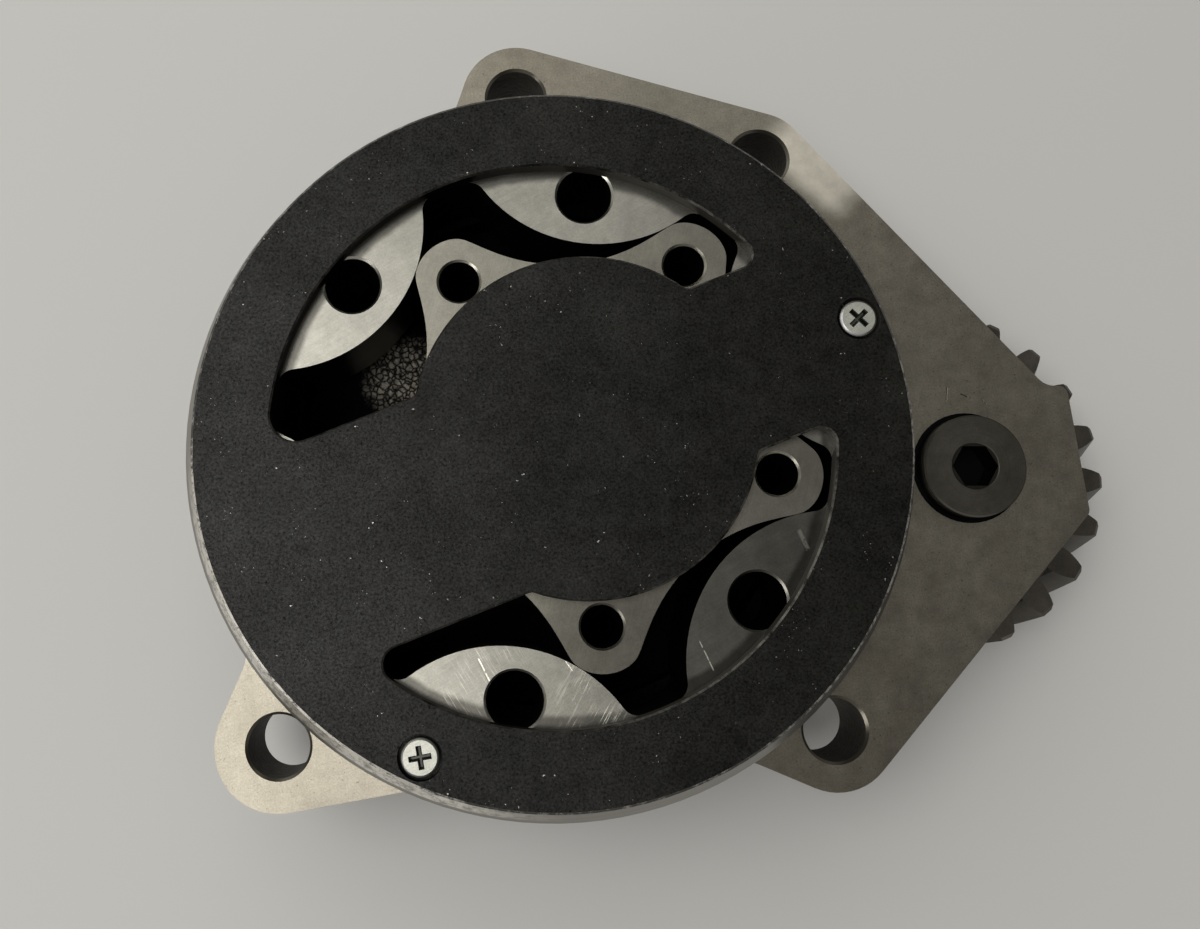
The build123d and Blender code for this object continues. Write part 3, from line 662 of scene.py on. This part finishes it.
def outer_rotor_marks(look, colour, height):
    """Darker sides, painted shade round the lower right tooth, a painted shadow ring under the plate's edge,
    lapping strokes and scratches.
    """
    colour = painted_shade_patch(look, darkened_walls(look, colour), SHADED_TOOTH, 23 * MM, 0.4)
    # Painted shadow of the plate's edge on the outer rotor.
    ragged = look.ragged_radius(BARREL_AXIS, 5 * MM, 1.2 * MM)
    plate_shadow = look.times(
        look.step(ragged, PLATE_SHADOW_RADIUS, PLATE_SHADOW_RADIUS + 0.9 * MM),
        look.step(look.nz, 0.8, 0.95),
    )
    colour = look.shade(colour, look.spread(plate_shadow, 1.0, 0.38))
    bright = look.most(look.times(lapping(look), 0.55), look.strokes(ROTOR_SCRATCHES))
    colour = look.mix(look.times(bright, 0.75), colour, BRIGHT_SCRATCH)
    return colour, look.plus(height, look.times(bright, -1.2))


def pin_marks(look, colour, height):
    """Painted shade on the side and in the socket."""
    socket = look.times(
        look.step(look.radius_from(IDLER_AXIS), SOCKET_RADIUS + 0.4 * MM, SOCKET_RADIUS),
        look.step(look.z, SOCKET_MOUTH, SOCKET_MOUTH - 0.15 * MM),
    )
    side = look.step(look.nz, 0.4, 0.2)
    return look.mix(look.most(socket, side), colour, PIN_SHADE), height


def slot_marks(look, colour, height):
    """Painted shade deep in the cross recess."""
    deep = look.step(look.z, PLATE_TOP - 0.1 * MM, PLATE_TOP - 0.45 * MM)
    return look.mix(look.times(deep, 0.85), colour, SLOT_SHADE), height


def bronze():
    """Plain machined bronze."""
    look = Look("bronze", metallic=1.0)
    mottle = look.noise(3 * MM, 4, 0.6)
    normal = look.bump(look.noise(0.3 * MM, 3, 0.7), 0.01 * MM)
    return look.finish(look.mix(mottle, *BRONZE), look.spread(mottle, 0.3, 0.5), normal)


# ---------------------------------------------------------------- finishes of the pieces
dress(cast_iron(), "pump_body")
dress(black_oxide(), "port_plate")
dress(steel("outer_rotor_steel", OUTER_ROTOR_STEEL, extra=outer_rotor_marks), "outer_rotor")
dress(steel("inner_rotor_steel", INNER_ROTOR_STEEL, lay_angle=75, extra=inner_rotor_marks), "inner_rotor")
dress(steel("zinc_screw", ZINC, (0.38, 0.52), relief=0.012 * MM, extra=slot_marks), "cover_screws")
dress(steel("shaft_steel", SHAFT_STEEL), "drive_shaft", "rotor_key", "gear_key", "plate_dowels")
dress(steel("gear_steel", GEAR_STEEL, (0.34, 0.5), lay_angle=70, edge=2.6), "drive_gear", "idler_gear")
dress(
    steel("pin_steel", PIN_STEEL, (0.38, 0.5), edge=2.6, turned_about=IDLER_AXIS, extra=pin_marks),
    "idler_pin",
)
dress(steel("washer_steel", WASHER_STEEL), "gear_thrust_washer", "idler_rear_washer", "idler_front_washer")
dress(steel("ring_steel", RING_STEEL, (0.3, 0.45)), "gear_retaining_ring", "idler_retaining_ring")
dress(bronze(), "rear_shaft_bush", "front_shaft_bush", "idler_bush")

# ---------------------------------------------------------------- stage
FLOOR_SIZE = 6
FLOOR_ROUGHNESS = 0.8
WORLD_COLOUR = (1.0, 0.985, 0.955)
WORLD_STRENGTH = 0.2

# Lamps: name, place, size, power and colour. Each one is turned towards the origin.
LAMPS = (
    ("key", (-0.61, 0.82, 1.09), 2.3, 14, (1.0, 0.99, 0.95)),
    ("low_left", (-0.26, -0.24, 1.03), 0.4, 2.0, (1.0, 0.98, 0.94)),
    ("low_middle", (-0.07, -0.2, 1.05), 0.25, 0.22, (1.0, 0.98, 0.94)),
    ("left", (-0.42, 0.12, 1.0), 0.5, 2.7, (1.0, 0.98, 0.95)),
    ("side", (-0.95, -0.65, 0.32), 0.6, 2.0, (1.0, 0.98, 0.95)),
)


def floor():
    """Plain floor under the lowest point of the part."""
    material = Look("stage_floor").finish(FLOOR_COLOUR, FLOOR_ROUGHNESS)
    bpy.ops.mesh.primitive_plane_add(size=FLOOR_SIZE, location=(0, 0, cad_low.z))
    plane = bpy.context.object
    plane.name = "floor"
    plane.data.materials.append(material)


def area_light(name, place, size, power, colour):
    """Round lamp that shines towards the origin."""
    data = bpy.data.lights.new(name, "AREA")
    data.shape = "DISK"
    data.size = size
    data.energy = power
    data.color = colour
    light = bpy.data.objects.new(name, data)
    bpy.context.scene.collection.objects.link(light)
    light.location = place
    light.rotation_euler = (-Vector(place)).to_track_quat("-Z", "Y").to_euler()


def world():
    """Even surroundings."""
    scene_world = bpy.data.worlds.new("studio")
    bpy.context.scene.world = scene_world
    scene_world.use_nodes = True
    background = scene_world.node_tree.nodes["Background"]
    background.inputs["Color"].default_value = (*WORLD_COLOUR, 1)
    background.inputs["Strength"].default_value = WORLD_STRENGTH


floor()
world()
for lamp in LAMPS:
    area_light(*lamp)

# ---------------------------------------------------------------- camera, as fitted to the photograph
CAMERA_PLACE = Vector((-8.14, -19.38, 178.84)) * MM
CAMERA_TILT_X = radians(-9.351)
CAMERA_TILT_Y = radians(0.479)
CAMERA_LENS = 36
SENSOR_WIDTH = 36
CAMERA_SHIFT_X = 0.0994
CAMERA_SHIFT_Y = -0.065
CAMERA_NEAR = 5 * MM


def camera():
    """Camera that looks down on the port plate, slightly tilted."""
    data = bpy.data.cameras.new("camera")
    data.sensor_width = SENSOR_WIDTH
    data.lens = CAMERA_LENS
    data.shift_x = CAMERA_SHIFT_X
    data.shift_y = CAMERA_SHIFT_Y
    data.clip_start = CAMERA_NEAR
    eye = bpy.data.objects.new("camera", data)
    bpy.context.scene.collection.objects.link(eye)
    down = Matrix.Diagonal((1, -1, -1))
    tilt = Matrix.Rotation(CAMERA_TILT_Y, 3, "Y") @ Matrix.Rotation(CAMERA_TILT_X, 3, "X")
    to_camera = tilt @ down
    turn = to_camera.transposed() @ down
    eye.matrix_world = Matrix.Translation(CAMERA_PLACE) @ turn.to_4x4()
    bpy.context.scene.camera = eye


camera()
bpy.context.scene.view_settings.view_transform = "Standard"
